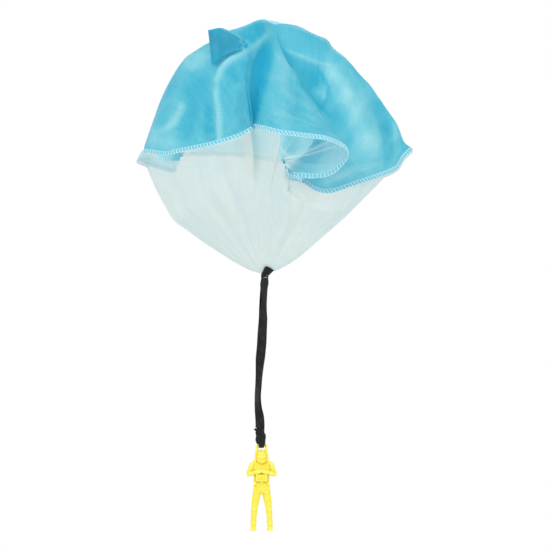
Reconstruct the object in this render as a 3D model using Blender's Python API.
"""Toy parachute: a pleated cloth canopy with a net skirt, a ribbon and a moulded paratrooper.

Units are metres and +Z is up. The origin is the top of the crown, where the toy is held up.
The front faces -Y, and +X is to the right as seen from the front.
"""

import math

import bmesh
import bpy
import numpy as np

# Clearances
TOUCH_GAP = 0.0003
RUNNING_GAP = 0.0004
WELD_DISTANCE = 0.00001

# Canopy
CANOPY_HALF_WIDTH = 0.130
CANOPY_HALF_DEPTH = 0.108
CANOPY_DROP = 0.130
CANOPY_THICKNESS = 0.0008
APEX_X = 0.005
APEX_Y = -0.0215
APEX_DROP = 0.017
CROWN_RISE = 0.0130
CROWN_REACH_LEFT = 0.030
CROWN_REACH_RIGHT = 0.054
CROWN_REACH_BACK = 0.040
TUCK_HEIGHT = 0.012
TUCK_SWELL_SHARE = 0.625
CANOPY_ROWS = 10

# Edge stitching between the canopy and the net
STITCH_WIDTH = 0.0030
STITCH_THICKNESS = 0.0012

# Net skirt
NET_THICKNESS = 0.0006
NET_BOTTOM_DROP = 0.2400
NET_BOTTOM_X = -0.0028
NET_BOTTOM_Y = 0.0
NET_BOTTOM_RADIUS = 0.0036
NET_ROWS = 9
NET_LEAD = 0.0015
NET_SEAM_WIDTH = 0.0014
NET_SEAM_DEPTH = 0.0010
NET_SEAM_COLUMN = 36
NET_SEAM_LIFT_SHARE = 1.6

# Gathered net tip, inside the ribbon's folded end
GATHER_HEIGHT = 0.0062
GATHER_TOP_RADIUS = 0.0026
GATHER_BOTTOM_RADIUS = 0.0019
GATHER_PLEATS = 7
GATHER_PLEAT_DEPTH = 0.0003

# Ribbon, one strip folded double
RIBBON_WIDTH = 0.0090
RIBBON_PLY = 0.0008
RIBBON_STEP = 0.0050
NECK_STEP = 0.0020
RIBBON_SIDES = 10
RIBBON_POWER = 4.0
TOP_FOLD_HALF_WIDTH = 0.0042
TOP_FOLD_HALF_DEPTH = 0.0034
TOP_FOLD_HEIGHT = 0.0060
TOP_FOLD_SIDES = 16
TOP_FOLD_POWER = 2.8
HOLE_SIDES = 24
FLAP_TILT = 42.0
FLAP_WIDTH = 0.0070
FLAP_REACH = 0.0072
FLAP_TURN = 32.0
NECK_PINCH_SHARE = 0.55
THREAD_RADIUS = 0.00030
THREAD_LENGTH = 0.0024
THREAD_DROP_SHARE = 0.75
THREAD_SLOPE_SHARE = 0.5
KNOT_HEIGHT = 0.0058
KNOT_WIDTH = 0.0092
KNOT_DEPTH = 0.0056
KNOT_TAIL_LENGTH = 0.0046
KNOT_TAIL_WIDTH = 0.0034
KNOT_TAIL_ROOT_SHARE = 0.3
KNOT_SIDES = 12
KNOT_POWER = 2.4
LOOP_TOP_RADIUS = 0.0013
LOOP_WIDE_WIDTH = 0.0092
LOOP_TOP_WIDTH = 0.0074
LOOP_BOTTOM_WIDTH = 0.0050
LOOP_EDGE_SHARE = 0.75
LOOP_SIDE_SHARES = (0.2, 0.42, 0.7)
LOOP_WIDE_SHARE = 0.42

# Paratrooper
FIGURE_X = -0.0051
FIGURE_Y = 0.0
FIGURE_SOLE_DROP = 0.4858
FIGURE_HEIGHT = 0.0763
RING_BAR_RADIUS = 0.0012
RING_HALF_WIDTH = 0.0043
RING_BAR_RISE = 0.0056
RING_CORNER_RADIUS = 0.0020

# One row for each place along the rim, from the left tip across the front to the right tip and
# round the back: the direction of the cloth at the crown and of the net at its tie in degrees
# from the front, then the place itself as shares of the half width, half depth and drop, then
# how straight the cloth falls there, from 0 for a dome to 1 for a cone
RIM_SHARES = (
    (-90, -90, -0.905, 0.00, -1.005, 0.17),
    (-80, -76, -0.835, -0.32, -0.97, 0.15),
    (-70, -62, -0.70, -0.56, -1.00, 0.12),
    (-61, -48, -0.58, -0.70, -0.985, 0.08),
    (-48, -30, -0.39, -0.85, -0.955, 0.04),
    (-32, -15, -0.20, -0.93, -0.905, 0.00),
    (-22, -10, -0.125, -0.965, -0.87, 0.00),
    (-17, -8, -0.10, -0.94, -0.855, 0.05),
    (-14, -6.5, -0.135, -0.885, -0.85, 0.15),
    (-11, -5, -0.19, -0.83, -0.84, 0.30),
    (-7, -3.5, -0.16, -0.80, -0.83, 0.45),
    (-3, -2, -0.08, -0.885, -0.835, 0.55),
    (2, 0, 0.01, -1.00, -0.86, 0.65),
    (8, 2, 0.09, -1.06, -0.885, 0.75),
    (15, 4, 0.20, -1.05, -0.90, 0.85),
    (21, 6, 0.31, -1.01, -0.91, 0.92),
    (26, 8, 0.42, -0.96, -0.925, 0.96),
    (30, 10, 0.52, -0.88, -0.965, 1.00),
    (33, 12, 0.555, -0.82, -1.00, 1.04),
    (35, 13, 0.54, -0.785, -1.055, 1.08),
    (37, 14, 0.47, -0.78, -1.13, 1.10),
    (39, 15, 0.40, -0.78, -1.16, 1.12),
    (42, 16, 0.31, -0.775, -1.17, 1.14),
    (45, 17, 0.20, -0.76, -1.16, 1.15),
    (48, 18, 0.13, -0.70, -1.165, 1.16),
    (51, 20, 0.175, -0.63, -1.17, 1.15),
    (54, 24, 0.26, -0.62, -1.20, 1.12),
    (58, 30, 0.35, -0.62, -1.255, 1.06),
    (63, 39, 0.45, -0.61, -1.265, 0.95),
    (70, 51, 0.60, -0.55, -1.215, 0.75),
    (77, 65, 0.77, -0.43, -1.155, 0.54),
    (84, 78, 0.92, -0.25, -1.09, 0.36),
    (88, 85, 0.995, -0.09, -1.00, 0.28),
    (91, 90, 1.065, 0.01, -0.935, 0.27),
    (95, 96, 0.985, 0.14, -0.985, 0.24),
    (101, 103, 0.86, 0.25, -1.02, 0.20),
    (107, 109, 0.91, 0.41, -1.00, 0.20),
    (114, 117, 0.83, 0.60, -0.985, 0.15),
    (121, 124, 0.66, 0.58, -1.01, 0.10),
    (128, 133, 0.60, 0.76, -0.99, 0.10),
    (136, 142, 0.44, 0.93, -0.975, 0.10),
    (145, 152, 0.27, 0.80, -1.00, 0.10),
    (154, 162, 0.17, 0.94, -0.985, 0.10),
    (163, 172, 0.00, 1.00, -0.97, 0.10),
    (172, 180, -0.13, 0.86, -1.005, 0.10),
    (181, 188, -0.24, 0.98, -0.985, 0.10),
    (191, 198, -0.40, 0.93, -0.97, 0.10),
    (202, 208, -0.46, 0.73, -1.00, 0.05),
    (213, 219, -0.61, 0.73, -0.985, 0.09),
    (224, 230, -0.75, 0.58, -0.975, 0.12),
    (236, 241, -0.74, 0.38, -1.01, 0.14),
    (247, 252, -0.86, 0.28, -0.99, 0.16),
    (259, 261, -0.90, 0.14, -0.985, 0.17),
)

# The net's short cut past the fold in front, in place of the rim's rows from the first to the last
NET_CUT_START = 14
NET_CUT_END = 25
NET_CUT_SHARES = (
    (11, 4, 0.128, -0.985, -0.965, 0.9),
    (18, 7, 0.136, -0.900, -1.045, 1.0),
    (26, 10, 0.136, -0.820, -1.115, 1.0),
    (35, 13, 0.128, -0.735, -1.185, 1.0),
    (44, 17, 0.158, -0.680, -1.215, 1.0),
)
NET_CUT_DIRECTION = (-1.0, 0.0, -0.25)

# How far out and how far down the cloth is along its way from the apex to the rim
CANOPY_PROFILE_SHARES = (
    (0.00, 0.00, 0.00),
    (0.14, 0.22, -0.05),
    (0.27, 0.42, 0.01),
    (0.37, 0.56, 0.11),
    (0.48, 0.68, 0.23),
    (0.60, 0.79, 0.41),
    (0.72, 0.87, 0.61),
    (0.85, 0.93, 0.83),
    (0.95, 0.96, 0.96),
    (1.00, 1.00, 1.00),
)
# The same for the net, from the rim in to its gathered bottom
NET_PROFILE_SHARES = (
    (0.00, 0.00, 0.00),
    (0.20, 0.14, 0.30),
    (0.37, 0.27, 0.53),
    (0.56, 0.48, 0.71),
    (0.71, 0.64, 0.83),
    (0.84, 0.80, 0.93),
    (0.93, 0.91, 0.985),
    (1.00, 1.00, 1.00),
)
PLEAT_START_SHARE = 0.12
NET_RIGHT_STRAIGHT_SHARE = 0.5
NET_FRONT_STRAIGHT_SHARE = 1.0
NET_PLEAT_END_SHARE = 0.55
RIM_LEAN_SHARE = 0.4
RIM_LAST_STEP_SHARE = 0.985

# The standing tuck at the upper left: its corners, across and down the front, as shares of the
# half width and of the drop, from its root round to its free edges
TUCK_CORNER_SHARES = ((-0.17, -0.25), (-0.19, -0.05), (-0.43, -0.08), (-0.40, -0.36))
TUCK_EDGE_SHARE = 0.035

# The ribbon's middle line from the net's tie to the knot, and its turn about its length there
RIBBON_ROUTE = (
    (-0.0028, 0.0000, -0.2466),
    (-0.0027, 0.0000, -0.2506),
    (-0.0028, 0.0001, -0.2546),
    (-0.0034, 0.0004, -0.2640),
    (-0.0038, 0.0008, -0.2760),
    (-0.0038, 0.0006, -0.2870),
    (-0.0045, 0.0002, -0.2980),
    (-0.0052, 0.0000, -0.3090),
    (-0.0060, -0.0003, -0.3190),
    (-0.0068, -0.0005, -0.3290),
    (-0.0076, -0.0006, -0.3390),
    (-0.0082, -0.0004, -0.3480),
    (-0.0087, -0.0002, -0.3600),
    (-0.0082, 0.0000, -0.3690),
    (-0.0071, 0.0001, -0.3780),
    (-0.0066, 0.0000, -0.3882),
)
RIBBON_TURNS = (10, 28, 42, 47, 34, 15, 2, -6, -12, -22, -36, -48, -58, -44, -16, 0)
NECK_POINTS = 3

# The sleeve round the gather: the way down it, then its size there
TOP_FOLD_SHARES = ((0.0, 0.86), (0.1, 1.0), (0.85, 1.0), (1.0, 0.93))

# Sections of the knot: the way down it, then its width and depth there
KNOT_SHARES = (
    (0.00, 0.72, 0.50),
    (0.10, 0.84, 0.80),
    (0.30, 0.98, 1.00),
    (0.50, 0.86, 0.92),
    (0.70, 0.98, 1.00),
    (0.90, 0.88, 0.84),
    (1.00, 0.76, 0.52),
)
# The knot's tail: the way along it, its rise and its width there
KNOT_TAIL_SHARES = ((-0.20, 0.15, 0.80), (0.35, 0.42, 1.00), (0.75, 0.66, 0.90), (1.00, 0.84, 0.60))

# Ring-shaped sections of the figure, bottom to top, as shares of its height: across from its
# middle, forward, height, half width and half depth
TORSO_SHARES = (
    (0.0, 0.004, 0.470, 0.060, 0.042),
    (0.0, 0.002, 0.500, 0.103, 0.056),
    (0.0, 0.000, 0.545, 0.104, 0.058),
    (0.0, 0.000, 0.590, 0.098, 0.056),
    (0.0, 0.000, 0.625, 0.096, 0.055),
    (0.0, 0.000, 0.680, 0.102, 0.058),
    (0.0, -0.002, 0.740, 0.112, 0.060),
    (0.0, -0.004, 0.790, 0.120, 0.056),
    (0.0, -0.004, 0.822, 0.104, 0.046),
    (0.0, -0.002, 0.842, 0.060, 0.036),
)
HEAD_SHARES = (
    (0.0, 0.000, 0.815, 0.044, 0.040),
    (0.0, 0.010, 0.840, 0.050, 0.052),
    (0.0, 0.016, 0.865, 0.059, 0.064),
    (0.0, 0.014, 0.900, 0.064, 0.070),
    (0.0, 0.008, 0.940, 0.062, 0.068),
    (0.0, 0.002, 0.975, 0.046, 0.050),
    (0.0, 0.000, 0.993, 0.020, 0.024),
)
LEG_SHARES = (
    (0.104, 0.004, 0.012, 0.036, 0.036),
    (0.104, 0.004, 0.050, 0.037, 0.037),
    (0.103, 0.002, 0.080, 0.039, 0.040),
    (0.101, 0.000, 0.120, 0.036, 0.038),
    (0.097, 0.000, 0.190, 0.038, 0.042),
    (0.090, 0.004, 0.270, 0.041, 0.043),
    (0.081, 0.004, 0.340, 0.046, 0.048),
    (0.066, 0.002, 0.420, 0.052, 0.052),
    (0.052, 0.000, 0.500, 0.054, 0.052),
    (0.046, 0.000, 0.560, 0.044, 0.044),
)
BOOT_SHARES = (
    (0.104, 0.018, 0.000, 0.038, 0.056),
    (0.104, 0.018, 0.018, 0.040, 0.058),
    (0.104, 0.016, 0.034, 0.038, 0.052),
    (0.104, 0.006, 0.056, 0.034, 0.036),
)
UPPER_ARM_SHARES = (
    (0.092, 0.000, 0.806, 0.034, 0.036),
    (0.126, 0.000, 0.800, 0.036, 0.040),
    (0.150, 0.004, 0.760, 0.034, 0.038),
    (0.168, 0.010, 0.715, 0.033, 0.036),
    (0.168, 0.020, 0.685, 0.026, 0.030),
)
FOREARM_SHARES = (
    (0.172, 0.014, 0.700, 0.030, 0.030),
    (0.146, 0.034, 0.704, 0.030, 0.030),
    (0.104, 0.060, 0.722, 0.028, 0.028),
    (0.062, 0.078, 0.738, 0.026, 0.026),
    (0.022, 0.084, 0.746, 0.024, 0.022),
)
# The packs on the belly and the back: middle, forward and up, then half width, depth and height
FRONT_PACK_SHARES = (0.050, 0.662, 0.070, 0.034, 0.046)
BACK_PACK_SHARES = (-0.066, 0.715, 0.080, 0.040, 0.092)
PACK_EDGE_SHARE = 0.016
# The belt's middle height, half height, half width and half depth
BELT_SHARES = (0.605, 0.013, 0.103, 0.062)
# Where each riser leaves the shoulder and where it passes the head: across, forward and up
RISER_SHARES = ((0.080, 0.008, 0.800), (0.078, 0.012, 0.850), (0.071, 0.006, 0.930))
LIMB_SIDES = 12
LIMB_LEVEL_SHARE = 0.8
HEAD_SIDES = 14
TORSO_SIDES = 20
TORSO_POWER = 2.4
BOOT_POWER = 2.6

COLOURS = {
    "canopy_cloth": ((0.13, 0.52, 0.72, 1.0), 0.45),
    "edge_thread": ((0.55, 0.84, 0.93, 1.0), 0.8),
    "net": ((0.80, 0.88, 0.87, 1.0), 0.7),
    "ribbon_satin": ((0.015, 0.017, 0.018, 1.0), 0.4),
    "white_thread": ((0.85, 0.85, 0.83, 1.0), 0.8),
    "figure_plastic": ((0.95, 0.84, 0.05, 1.0), 0.4),
}


def clear_scene():
    for obj in list(bpy.data.objects):
        bpy.data.objects.remove(obj, do_unlink=True)


def make_collection(name):
    collection = bpy.data.collections.new(name)
    bpy.context.scene.collection.children.link(collection)
    return collection


def make_material(name):
    colour, roughness = COLOURS[name]
    material = bpy.data.materials.new(name)
    material.use_nodes = True
    shader = material.node_tree.nodes["Principled BSDF"]
    shader.inputs["Base Color"].default_value = colour
    shader.inputs["Roughness"].default_value = roughness
    shader.inputs["Metallic"].default_value = 0.0
    material.diffuse_color = colour
    return material


def add_object(name, mesh, material, collection, origin=(0.0, 0.0, 0.0)):
    """Puts the mesh in the scene with the object's origin moved to the given place."""
    shift = np.array(origin)
    for vertex in mesh.vertices:
        vertex.co = np.array(vertex.co) - shift
    obj = bpy.data.objects.new(name, mesh)
    obj.location = origin
    collection.objects.link(obj)
    mesh.materials.append(material)
    mesh.shade_smooth()
    mesh.set_sharp_from_angle(angle=math.radians(50))
    return obj


def smooth_step(x):
    x = np.clip(x, 0.0, 1.0)
    return x * x * (3.0 - 2.0 * x)


def curve_through(places, values, at):
    """A smooth curve through the values at the given places, read at other places."""
    places = np.array(places, float)
    values = np.array(values, float)
    slopes = np.gradient(values, places, axis=0)
    at = np.clip(np.asarray(at, float), places[0], places[-1])
    i = np.clip(np.searchsorted(places, at, side="right") - 1, 0, len(places) - 2)
    width = places[i + 1] - places[i]
    t = (at - places[i]) / width
    if values.ndim > 1:
        t = t[..., None]
        width = width[..., None]
    t2 = t * t
    t3 = t2 * t
    return (
        (2 * t3 - 3 * t2 + 1) * values[i]
        + (t3 - 2 * t2 + t) * width * slopes[i]
        + (3 * t2 - 2 * t3) * values[i + 1]
        + (t3 - t2) * width * slopes[i + 1]
    )


def loft_mesh(name, rings):
    """A closed solid through rings of equally many points, capped flat at both ends."""
    rings = np.array(rings)
    count, sides = rings.shape[:2]
    verts = [tuple(p) for p in rings.reshape(-1, 3)]
    faces = []
    for r in range(count - 1):
        for c in range(sides):
            n = (c + 1) % sides
            low = r * sides
            high = low + sides
            faces.append((low + c, low + n, high + n, high + c))
    faces.append(tuple(range(sides))[::-1])
    faces.append(tuple(range((count - 1) * sides, count * sides)))
    mesh = bpy.data.meshes.new(name)
    mesh.from_pydata(verts, [], faces)
    face_outward(mesh)
    return mesh


def face_outward(mesh):
    bm = bmesh.new()
    bm.from_mesh(mesh)
    bmesh.ops.recalc_face_normals(bm, faces=bm.faces)
    if bm.calc_volume(signed=True) < 0.0:
        bmesh.ops.reverse_faces(bm, faces=bm.faces)
    bm.to_mesh(mesh)
    bm.free()


def shell_mesh(name, points, normals, thickness, apex=None):
    """A closed cloth solid: two skins either side of a closed grid of points, and its edges."""
    rows, columns = points.shape[:2]
    verts = []
    faces = []
    for side in (0.5, -0.5):
        base = len(verts)
        verts += [tuple(p) for p in (points + normals * side * thickness).reshape(-1, 3)]
        skin = []
        for r in range(rows - 1):
            for c in range(columns):
                n = (c + 1) % columns
                low = base + r * columns
                high = low + columns
                skin.append((low + c, high + c, high + n, low + n))
        if apex is not None:
            tip = len(verts)
            verts.append((apex[0], apex[1], apex[2] + side * thickness))
            skin += [(tip, base + c, base + (c + 1) % columns) for c in range(columns)]
        faces += skin if side > 0.0 else [face[::-1] for face in skin]
    under = len(verts) // 2
    ends = [rows - 1] if apex is not None else [0, rows - 1]
    for end in ends:
        for c in range(columns):
            a, b = end * columns + c, end * columns + (c + 1) % columns
            faces.append((a, b, under + b, under + a))
    mesh = bpy.data.meshes.new(name)
    mesh.from_pydata(verts, [], faces)
    face_outward(mesh)
    return mesh


def evaluated_mesh(obj):
    graph = bpy.context.evaluated_depsgraph_get()
    return bpy.data.meshes.new_from_object(obj.evaluated_get(graph))


def combine(base, tool, operation):
    """Joins or cuts the base object by the tool object with a Boolean, and applies it."""
    modifier = base.modifiers.new(operation.lower(), "BOOLEAN")
    modifier.operation = operation
    modifier.object = tool
    modifier.solver = "EXACT"
    mesh = evaluated_mesh(base)
    base.modifiers.clear()
    old = base.data
    base.data = mesh
    bpy.data.meshes.remove(old)
    bpy.data.objects.remove(tool, do_unlink=True)


class Rim:
    """The rim of the canopy, one column of the cloth for each row of the table."""

    def __init__(self, columns_per_place=1, shares=RIM_SHARES):
        table = np.array(shares, float)
        count = len(table)
        wrap = np.vstack([table[-3:], table, table[:3]])
        wrap[:3, :2] -= 360.0
        wrap[-3:, :2] += 360.0
        at = np.arange(count * columns_per_place) / columns_per_place
        rows = curve_through(np.arange(-3, count + 3), wrap, at)
        size = np.array([CANOPY_HALF_WIDTH, CANOPY_HALF_DEPTH, CANOPY_DROP])
        self.cloth_angle = np.radians(rows[:, 0])
        self.net_angle = np.radians(rows[:, 1])
        self.place = rows[:, 2:5] * size
        self.straight = rows[:, 5]
        self.plain = ellipse(self.cloth_angle, CANOPY_HALF_WIDTH, CANOPY_HALF_DEPTH)
        self.plain_drop = -CANOPY_DROP
        self.around = unit(np.roll(self.place, -1, axis=0) - np.roll(self.place, 1, axis=0))
        # the cloth's own direction where it ends, held nearer to upright
        near = canopy_surface(self, (RIM_LAST_STEP_SHARE, 1.0))
        self.direction = unit((near[1] - near[0]) * np.array([RIM_LEAN_SHARE, RIM_LEAN_SHARE, 1.0]))
        self.normal = unit(np.cross(self.direction, self.around))


def unit(vectors):
    return vectors / np.maximum(np.linalg.norm(vectors, axis=-1, keepdims=True), 1e-12)


def ellipse(angle, half_width, half_depth):
    return np.stack([half_width * np.sin(angle), -half_depth * np.cos(angle)], axis=-1)


def canopy_surface(rim, shares):
    """The cloth's middle surface: one row for each share of the way from apex to rim."""
    along = np.asarray(shares, float)[:, None]
    places = [row[0] for row in CANOPY_PROFILE_SHARES]
    out = curve_through(places, [row[1] for row in CANOPY_PROFILE_SHARES], along)
    dome = curve_through(places, [row[2] for row in CANOPY_PROFILE_SHARES], along)
    down = dome + (out - dome) * rim.straight[None, :]
    growth = smooth_step((along - PLEAT_START_SHARE) / (1.0 - PLEAT_START_SHARE))[..., None]
    flat = rim.plain[None] + (rim.place[None, :, :2] - rim.plain[None]) * growth
    apex = np.array([APEX_X, APEX_Y])
    level = apex + (flat - apex) * out[..., None]
    rim_drop = rim.plain_drop + (rim.place[None, :, 2] - rim.plain_drop) * growth[..., 0]
    height = -APEX_DROP + (rim_drop + APEX_DROP) * down
    side_reach = np.where(level[..., 0] > 0.0, CROWN_REACH_RIGHT, CROWN_REACH_LEFT)
    away = (level[..., 0] / side_reach) ** 2 + (level[..., 1] / CROWN_REACH_BACK) ** 2
    height = height + CROWN_RISE * np.exp(-away)
    return np.concatenate([level, height[..., None]], axis=-1)


def surface_normals(points):
    """Unit normals of a closed grid of points, pointing away from the middle of the cloth."""
    around = np.roll(points, -1, axis=1) - np.roll(points, 1, axis=1)
    return unit(np.cross(np.gradient(points, axis=0), around))


def tuck_rise(points):
    """How far the standing tuck lifts each point: it swells from its root to its free edges."""
    corners = np.array(TUCK_CORNER_SHARES) * np.array([CANOPY_HALF_WIDTH, CANOPY_DROP])
    place = points[..., [0, 2]]
    edge = TUCK_EDGE_SHARE * CANOPY_HALF_WIDTH
    inside = np.full(place.shape[:-1], np.inf)
    for start, end in zip(corners, np.roll(corners, -1, axis=0)):
        direction = (end - start) / np.linalg.norm(end - start)
        offset = place - start
        side = direction[0] * offset[..., 1] - direction[1] * offset[..., 0]
        inside = np.minimum(inside, side)
    root, top, corner, low = corners
    reach = np.linalg.norm(0.5 * (corner + low) - 0.5 * (root + top))
    direction = (0.5 * (corner + low) - 0.5 * (root + top)) / reach
    across = (place - 0.5 * (root + top)) @ direction / reach
    front = smooth_step(-points[..., 1] / CANOPY_HALF_DEPTH * 2.0 + 1.0)
    return TUCK_HEIGHT * smooth_step(inside / edge + 0.5) * smooth_step(across / TUCK_SWELL_SHARE) * front


def build_canopy(rim, material, collection):
    shares = np.linspace(0.0, 1.0, CANOPY_ROWS + 1)[1:]
    points = canopy_surface(rim, shares)
    points = points + surface_normals(points) * tuck_rise(points)[..., None]
    normals = surface_normals(points)
    normals[-1] = rim.normal
    apex = (APEX_X, APEX_Y, -APEX_DROP)
    mesh = shell_mesh("canopy", points, normals, CANOPY_THICKNESS, apex)
    return add_object("canopy", mesh, material, collection)


def build_edge_stitching(rim, material, collection):
    """The overlocked edge: a flat band just past the rim, all the way round."""
    steps = np.array([TOUCH_GAP, TOUCH_GAP + STITCH_WIDTH])
    points = rim.place[None] + rim.direction[None] * steps[:, None, None]
    normals = np.repeat(rim.normal[None], 2, axis=0)
    mesh = shell_mesh("edge_stitching", points, normals, STITCH_THICKNESS)
    return add_object("edge_stitching", mesh, material, collection)


def net_rim(columns_per_place=1):
    """The net's rim: the canopy's, but with a short cut past the fold in front."""
    shares = RIM_SHARES[:NET_CUT_START] + NET_CUT_SHARES + RIM_SHARES[NET_CUT_END:]
    rim = Rim(columns_per_place, shares)
    start = NET_CUT_START * columns_per_place
    cut = slice(start, start + len(NET_CUT_SHARES) * columns_per_place)
    rim.direction[cut] = unit(np.array(NET_CUT_DIRECTION))
    rim.normal[cut] = unit(np.cross(rim.direction, rim.around))[cut]
    return rim


def net_surface(rim, shares):
    """The net's middle surface, from just under the stitching in to the gathered bottom."""
    along = np.asarray(shares, float)[:, None]
    places = [row[0] for row in NET_PROFILE_SHARES]
    inward = curve_through(places, [row[1] for row in NET_PROFILE_SHARES], along)
    slack = curve_through(places, [row[2] for row in NET_PROFILE_SHARES], along)
    right = np.clip(np.sin(rim.net_angle), 0.0, 1.0) ** 2 * NET_RIGHT_STRAIGHT_SHARE
    front = np.clip(np.cos(rim.net_angle), 0.0, 1.0) ** 3 * NET_FRONT_STRAIGHT_SHARE
    down = slack + (inward - slack) * np.maximum(right, front)[None, :]
    edge = rim.place + rim.direction * (2.0 * TOUCH_GAP + STITCH_WIDTH)
    start = edge + rim.direction * NET_LEAD
    bottom = np.array([NET_BOTTOM_X, NET_BOTTOM_Y])
    outward = ellipse(rim.net_angle, 1.0, 1.0)
    wide = ellipse(rim.net_angle, CANOPY_HALF_WIDTH, CANOPY_HALF_DEPTH)
    reach = np.linalg.norm(wide, axis=-1)
    radius = reach + (NET_BOTTOM_RADIUS - reach) * inward
    level = bottom + outward[None] * radius[..., None]
    height = -CANOPY_DROP + (CANOPY_DROP - NET_BOTTOM_DROP) * down
    plain = np.concatenate([level, height[..., None]], axis=-1)
    hold = smooth_step(1.0 - along / NET_PLEAT_END_SHARE)[..., None]
    return np.concatenate([edge[None], plain + (start - plain[:1]) * hold])


def build_net_skirt(rim, material, collection):
    shares = np.linspace(0.0, 1.0, NET_ROWS + 1)
    points = net_surface(rim, shares)
    normals = surface_normals(points)
    normals[:2] = rim.normal
    mesh = shell_mesh("net_skirt", points, normals, NET_THICKNESS)
    add_object("net_skirt", mesh, material, collection)
    return points


def build_net_side_seam(net_rows, material, collection):
    """The seam that closes the net: a flat bead down the net's outer side, at the back."""
    line = net_rows[1:-1, NET_SEAM_COLUMN]
    normal = surface_normals(net_rows)[1:-1, NET_SEAM_COLUMN]
    side = unit(np.cross(np.gradient(line, axis=0), normal))
    lift = 0.5 * NET_THICKNESS + TOUCH_GAP + 0.5 * NET_SEAM_DEPTH
    rings = []
    for place, up, across in zip(line, normal, side):
        middle = place + up * lift * NET_SEAM_LIFT_SHARE
        ring = [
            middle + across * x * 0.5 * NET_SEAM_WIDTH + up * y * 0.5 * NET_SEAM_DEPTH
            for x, y in ((-1, -1), (1, -1), (1, 1), (-1, 1))
        ]
        rings.append(ring)
    mesh = loft_mesh("net_side_seam", rings)
    return add_object("net_side_seam", mesh, material, collection)


def tie_point():
    return (NET_BOTTOM_X, NET_BOTTOM_Y, -NET_BOTTOM_DROP)


def section(middle, half_width, half_depth, sides, power=2.0):
    """A level ring of points round a middle, from round to squarish as the power rises."""
    ring = []
    for angle in np.arange(sides) * 2.0 * math.pi / sides:
        c, s = math.cos(angle), math.sin(angle)
        x = math.copysign(abs(c) ** (2.0 / power), c) * half_width
        y = math.copysign(abs(s) ** (2.0 / power), s) * half_depth
        ring.append((middle[0] + x, middle[1] + y, middle[2]))
    return ring


def build_net_gather(material, collection):
    """The bunched end of the net: a tapered plug with a pleated side."""
    top = -NET_BOTTOM_DROP + 0.5 * NET_THICKNESS
    rings = []
    for share in np.linspace(0.0, 1.0, 5):
        radius = GATHER_TOP_RADIUS + (GATHER_BOTTOM_RADIUS - GATHER_TOP_RADIUS) * share
        ring = []
        for angle in np.arange(6 * GATHER_PLEATS) * math.pi / (3 * GATHER_PLEATS):
            r = radius + GATHER_PLEAT_DEPTH * math.cos(angle * GATHER_PLEATS)
            x = NET_BOTTOM_X + r * math.cos(angle)
            y = NET_BOTTOM_Y + r * math.sin(angle)
            ring.append((x, y, top - GATHER_HEIGHT * share))
        rings.append(ring)
    mesh = loft_mesh("net_gather", rings)
    return add_object("net_gather", mesh, material, collection, tie_point())


def build_ribbon_top_fold(material, collection):
    """The ribbon's folded end: a flat sleeve round the gather, with a flap laid up the net."""
    top = -NET_BOTTOM_DROP - 0.5 * NET_THICKNESS - TOUCH_GAP
    rings = [
        section(
            (NET_BOTTOM_X, NET_BOTTOM_Y, top - TOP_FOLD_HEIGHT * share),
            TOP_FOLD_HALF_WIDTH * scale,
            TOP_FOLD_HALF_DEPTH * scale,
            TOP_FOLD_SIDES,
            TOP_FOLD_POWER,
        )
        for share, scale in TOP_FOLD_SHARES
    ]
    mesh = loft_mesh("ribbon_top_fold", rings)
    sleeve = add_object("ribbon_top_fold", mesh, material, collection, tie_point())
    combine(sleeve, make_flap(collection), "UNION")
    hole_radius = GATHER_TOP_RADIUS + GATHER_PLEAT_DEPTH + RUNNING_GAP
    hole_top = -NET_BOTTOM_DROP + 2.0 * NET_THICKNESS
    hole_bottom = -NET_BOTTOM_DROP + 0.5 * NET_THICKNESS - GATHER_HEIGHT - TOUCH_GAP
    middle = (NET_BOTTOM_X, NET_BOTTOM_Y)
    ends = [
        section((*middle, z), hole_radius, hole_radius, HOLE_SIDES) for z in (hole_bottom, hole_top)
    ]
    hole = bpy.data.objects.new("gather hole", loft_mesh("gather hole", ends))
    collection.objects.link(hole)
    combine(sleeve, hole, "DIFFERENCE")
    return sleeve


def make_flap(collection):
    """A turned flat end of the ribbon that leans outwards against the front of the net."""
    half = 0.5 * FLAP_WIDTH
    outline = ((-half, 0.0), (half, 0.0), (half, FLAP_REACH), (-half, FLAP_REACH))
    turn = math.radians(FLAP_TURN)
    tilt = math.radians(FLAP_TILT)
    root_y = NET_BOTTOM_Y - TOP_FOLD_HALF_DEPTH + RIBBON_PLY
    root_z = -NET_BOTTOM_DROP - 0.5 * TOP_FOLD_HEIGHT
    rings = []
    for depth in (-0.5 * RIBBON_PLY, 0.5 * RIBBON_PLY):
        ring = []
        for x, up in outline:
            across = x * math.cos(turn) + up * math.sin(turn)
            rise = up * math.cos(turn) - x * math.sin(turn)
            y = root_y - rise * math.sin(tilt) + depth * math.cos(tilt)
            z = root_z + rise * math.cos(tilt) + depth * math.sin(tilt)
            ring.append((NET_BOTTOM_X + across, y, z))
        rings.append(ring)
    flap = bpy.data.objects.new("flap", loft_mesh("flap", rings))
    collection.objects.link(flap)
    return flap


def make_tube(name, points, radius, collection, bevel_resolution=2):
    """A round tube with welded caps along a line of points, as a mesh."""
    curve = bpy.data.curves.new(name, "CURVE")
    curve.dimensions = "3D"
    curve.bevel_depth = radius
    curve.bevel_resolution = bevel_resolution
    curve.use_fill_caps = True
    spline = curve.splines.new("POLY")
    spline.points.add(len(points) - 1)
    for point, place in zip(spline.points, points):
        point.co = (*place, 1.0)
    guide = bpy.data.objects.new(name, curve)
    collection.objects.link(guide)
    mesh = evaluated_mesh(guide)
    bpy.data.objects.remove(guide, do_unlink=True)
    bm = bmesh.new()
    bm.from_mesh(mesh)
    bmesh.ops.remove_doubles(bm, verts=bm.verts, dist=WELD_DISTANCE)
    bm.to_mesh(mesh)
    bm.free()
    face_outward(mesh)
    return mesh


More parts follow.
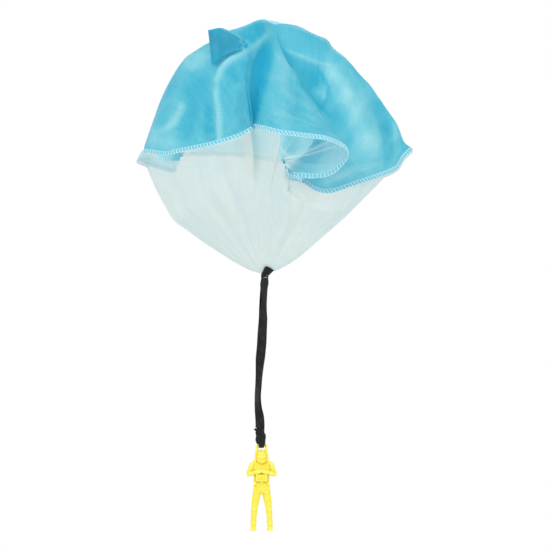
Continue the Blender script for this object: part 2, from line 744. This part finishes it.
def build_top_stitch(material, collection):
    """The thread tack across the front of the folded end."""
    y = NET_BOTTOM_Y - TOP_FOLD_HALF_DEPTH - TOUCH_GAP - THREAD_RADIUS
    z = -NET_BOTTOM_DROP - THREAD_DROP_SHARE * TOP_FOLD_HEIGHT
    half = 0.5 * THREAD_LENGTH
    slope = THREAD_SLOPE_SHARE * half
    points = [(NET_BOTTOM_X + half * t, y, z - slope * t) for t in (-1.0, 0.0, 1.0)]
    mesh = make_tube("top_stitch", points, THREAD_RADIUS, collection)
    return add_object("top_stitch", mesh, material, collection, tie_point())


def ribbon_rings(start, end, step):
    """Flat sections of the doubled ribbon from one route point to another, turned as it turns."""
    route = np.array(RIBBON_ROUTE)
    lengths = np.concatenate([[0.0], np.cumsum(np.linalg.norm(np.diff(route, axis=0), axis=-1))])
    count = max(3, round((lengths[end] - lengths[start]) / step) + 1)
    at = np.linspace(lengths[start], lengths[end], count)
    middles = curve_through(lengths, route, at)
    turns = np.radians(curve_through(lengths, RIBBON_TURNS, at))
    rings = []
    for middle, turn in zip(middles, turns):
        level = section((0.0, 0.0, 0.0), 0.5 * RIBBON_WIDTH, RIBBON_PLY, RIBBON_SIDES, RIBBON_POWER)
        c, s = math.cos(turn), math.sin(turn)
        rings.append([
            (middle[0] + x * c - y * s, middle[1] + x * s + y * c, middle[2]) for x, y, _ in level
        ])
    return rings


def build_ribbon(material, collection):
    """The short bend under the tie and the long doubled run, as two solids end to end."""
    neck = ribbon_rings(0, NECK_POINTS - 1, NECK_STEP)
    run = ribbon_rings(NECK_POINTS - 1, len(RIBBON_ROUTE) - 1, RIBBON_STEP)
    neck[0] = squeeze(neck[0], NECK_PINCH_SHARE)
    neck[-1] = lift(neck[-1], TOUCH_GAP)
    middle = RIBBON_ROUTE[1]
    objects = []
    for name, rings in (("ribbon_neck", neck), ("ribbon", run)):
        objects.append(add_object(name, loft_mesh(name, rings), material, collection, middle))
    return objects


def squeeze(ring, share):
    """The ring drawn in towards its middle."""
    points = np.array(ring)
    middle = points.mean(axis=0)
    return [tuple(middle + (point - middle) * share) for point in points]


def lift(ring, height):
    return [(x, y, z + height) for x, y, z in ring]


def knot_top():
    x, y, z = RIBBON_ROUTE[-1]
    return (x, y, z - TOUCH_GAP)


def build_ribbon_knot(material, collection):
    """The overhand knot: a barrel wrapped across its middle, with the cut tail at its left."""
    x, y, top = knot_top()
    rings = [
        section(
            (x, y, top - KNOT_HEIGHT * share),
            0.5 * KNOT_WIDTH * wide,
            0.5 * KNOT_DEPTH * deep,
            KNOT_SIDES,
            KNOT_POWER,
        )
        for share, wide, deep in KNOT_SHARES
    ]
    knot = add_object("ribbon_knot", loft_mesh("ribbon_knot", rings), material, collection, (x, y, top))
    half = 0.5 * KNOT_TAIL_WIDTH
    rings = []
    for reach, rise, scale in KNOT_TAIL_SHARES:
        end_x = x - KNOT_TAIL_ROOT_SHARE * KNOT_WIDTH - KNOT_TAIL_LENGTH * reach
        end_z = top - 0.5 * KNOT_HEIGHT + KNOT_TAIL_LENGTH * rise
        rings.append([
            (end_x, y + across * half * scale, end_z + up * RIBBON_PLY * 0.5)
            for across, up in ((-1, -1), (1, -1), (1, 1), (-1, 1))
        ])
    tail = bpy.data.objects.new("tail", loft_mesh("tail", rings))
    collection.objects.link(tail)
    combine(knot, tail, "UNION")
    return knot


def ring_bar_height():
    return -FIGURE_SOLE_DROP + FIGURE_HEIGHT + RING_BAR_RISE


def build_ribbon_loop(material, collection):
    """The doubled strap that hangs from the knot and passes under the ring's bar."""
    bar = ring_bar_height()
    radius = RING_BAR_RADIUS + RUNNING_GAP + RIBBON_PLY
    x, y, top = knot_top()
    crest = top - KNOT_HEIGHT - TOUCH_GAP - RIBBON_PLY - LOOP_TOP_RADIUS
    places = []
    for share in np.linspace(0.0, 1.0, 9):
        angle = math.pi * (share - 0.5)
        z = bar - radius * math.cos(angle)
        places.append((radius * math.sin(angle), z, LOOP_BOTTOM_WIDTH))
    for share in LOOP_SIDE_SHARES:
        z = bar + (crest - bar) * share
        side = radius + (LOOP_TOP_RADIUS - radius) * share
        growth = min(1.0, share / LOOP_WIDE_SHARE)
        wide = LOOP_BOTTOM_WIDTH + (LOOP_WIDE_WIDTH - LOOP_BOTTOM_WIDTH) * growth
        places.append((side, z, wide))
        places.insert(0, (-side, z, wide))
    for share in (0.0, 0.25, 0.5, 0.75, 1.0):
        angle = math.pi * share
        z = crest + LOOP_TOP_RADIUS * math.sin(angle)
        places.append((LOOP_TOP_RADIUS * math.cos(angle), z, LOOP_TOP_WIDTH))
    line = np.array([(place[0], place[1]) for place in places])
    ahead = unit(np.roll(line, -1, axis=0) - np.roll(line, 1, axis=0))
    points = []
    for (py, pz, width), (ty, tz) in zip(places, ahead):
        lean = np.clip((pz - bar) / (crest - bar), 0.0, 1.0)
        middle = FIGURE_X + (x - FIGURE_X) * lean
        ring = []
        for across, out in ((-1, -1), (0, -1), (1, -1), (1, 1), (0, 1), (-1, 1)):
            offset = out * RIBBON_PLY * (1.0 if across == 0 else LOOP_EDGE_SHARE)
            ring.append((middle + across * 0.5 * width, y + py + tz * offset, pz - ty * offset))
        points.append(ring)
    points = np.array(points)
    mesh = torus_mesh("ribbon_loop", points)
    return add_object("ribbon_loop", mesh, material, collection, (x, y, top))


def torus_mesh(name, points):
    """A closed solid from rings of points whose last ring joins the first."""
    count, sides = points.shape[:2]
    faces = []
    for r in range(count):
        for c in range(sides):
            n, up = (c + 1) % sides, (r + 1) % count
            faces.append((r * sides + c, r * sides + n, up * sides + n, up * sides + c))
    mesh = bpy.data.meshes.new(name)
    mesh.from_pydata([tuple(p) for p in points.reshape(-1, 3)], [], faces)
    face_outward(mesh)
    return mesh


def figure_place(across, forward, up):
    return (
        FIGURE_X + across * FIGURE_HEIGHT,
        FIGURE_Y - forward * FIGURE_HEIGHT,
        -FIGURE_SOLE_DROP + up * FIGURE_HEIGHT,
    )


def level_loft(name, shares, collection, side=1.0, sides=LIMB_SIDES, power=2.0):
    """A body form through level sections. A side of -1 makes its mirror image."""
    rings = [
        section(
            figure_place(side * across, forward, up),
            half_width * FIGURE_HEIGHT,
            half_depth * FIGURE_HEIGHT,
            sides,
            power,
        )
        for across, forward, up, half_width, half_depth in shares
    ]
    obj = bpy.data.objects.new(name, loft_mesh(name, rings))
    collection.objects.link(obj)
    return obj


def limb_loft(name, shares, collection, side):
    """A limb through sections square to its own line. A side of -1 makes its mirror image."""
    line = np.array([figure_place(side * row[0], row[1], row[2]) for row in shares])
    ahead = unit(np.gradient(line, axis=0))
    rings = []
    for place, way, row in zip(line, ahead, shares):
        across = (side, 0.0, 0.0) if abs(way[0]) < LIMB_LEVEL_SHARE else (0.0, 0.0, 1.0)
        deep = np.cross(way, across)
        deep /= np.linalg.norm(deep)
        wide = np.cross(deep, way)
        ring = []
        for angle in np.arange(LIMB_SIDES) * 2.0 * math.pi / LIMB_SIDES:
            offset = wide * math.cos(angle) * row[3] + deep * math.sin(angle) * row[4]
            ring.append(tuple(place + offset * FIGURE_HEIGHT))
        rings.append(ring)
    obj = bpy.data.objects.new(name, loft_mesh(name, rings))
    collection.objects.link(obj)
    return obj


def rounded_box(name, shares, collection):
    """A pack: a box with bevelled edges."""
    forward, up, half_width, half_depth, half_height = shares
    mesh = bpy.data.meshes.new(name)
    bm = bmesh.new()
    bmesh.ops.create_cube(bm, size=2.0)
    size = np.array((half_width, half_depth, half_height)) * FIGURE_HEIGHT
    for vert in bm.verts:
        vert.co = [a * b + c for a, b, c in zip(vert.co, size, figure_place(0.0, forward, up))]
    edge = PACK_EDGE_SHARE * FIGURE_HEIGHT
    bmesh.ops.bevel(bm, geom=bm.edges, offset=edge, segments=2, profile=0.5, affect="EDGES")
    bm.to_mesh(mesh)
    bm.free()
    obj = bpy.data.objects.new(name, mesh)
    collection.objects.link(obj)
    return obj


def riser_points():
    """The line of the risers: up one side of the head, over the ring's bar and down the other."""
    bar = ring_bar_height()
    right = [figure_place(*row) for row in RISER_SHARES]
    corner = RING_CORNER_RADIUS
    arc = []
    for share in np.linspace(0.0, 1.0, 5):
        angle = 0.5 * math.pi * share
        x = FIGURE_X + RING_HALF_WIDTH - corner * (1.0 - math.cos(angle))
        arc.append((x, FIGURE_Y, bar - corner * (1.0 - math.sin(angle))))
    half = right + arc
    mirror = [(2.0 * FIGURE_X - x, y, z) for x, y, z in reversed(half)]
    return half + mirror


def build_paratrooper(material, collection):
    """The moulded figure: body, head, limbs, packs and the ring over its head in one piece."""
    pieces = [level_loft("head", HEAD_SHARES, collection, sides=HEAD_SIDES)]
    for side in (-1.0, 1.0):
        pieces.append(level_loft("leg", LEG_SHARES, collection, side))
        pieces.append(level_loft("boot", BOOT_SHARES, collection, side, power=BOOT_POWER))
        pieces.append(limb_loft("upper arm", UPPER_ARM_SHARES, collection, side))
        pieces.append(limb_loft("forearm", FOREARM_SHARES, collection, side))
    pieces.append(rounded_box("front pack", FRONT_PACK_SHARES, collection))
    pieces.append(rounded_box("back pack", BACK_PACK_SHARES, collection))
    up, half_height, half_width, half_depth = BELT_SHARES
    belt = [(0.0, 0.0, up + half_height * t, half_width, half_depth) for t in (-1.0, 1.0)]
    pieces.append(level_loft("belt", belt, collection, sides=TORSO_SIDES, power=TORSO_POWER))
    risers = make_tube("risers", riser_points(), RING_BAR_RADIUS, collection, 3)
    obj = bpy.data.objects.new("risers", risers)
    collection.objects.link(obj)
    pieces.append(obj)
    torso = level_loft("torso", TORSO_SHARES, collection, sides=TORSO_SIDES, power=TORSO_POWER)
    for piece in pieces:
        combine(torso, piece, "UNION")
    mesh = torso.data.copy()
    bpy.data.objects.remove(torso, do_unlink=True)
    mesh.name = "paratrooper"
    origin = (FIGURE_X, FIGURE_Y, ring_bar_height())
    return add_object("paratrooper", mesh, material, collection, origin)


def main():
    clear_scene()
    parts = make_collection("toy parachute")
    materials = {name: make_material(name) for name in COLOURS}
    rim = Rim()
    build_canopy(rim, materials["canopy_cloth"], parts)
    build_edge_stitching(rim, materials["edge_thread"], parts)
    net_rows = build_net_skirt(net_rim(), materials["net"], parts)
    build_net_side_seam(net_rows, materials["edge_thread"], parts)
    build_net_gather(materials["net"], parts)
    build_ribbon_top_fold(materials["ribbon_satin"], parts)
    build_top_stitch(materials["white_thread"], parts)
    build_ribbon(materials["ribbon_satin"], parts)
    build_ribbon_knot(materials["ribbon_satin"], parts)
    build_ribbon_loop(materials["ribbon_satin"], parts)
    build_paratrooper(materials["figure_plastic"], parts)


main()
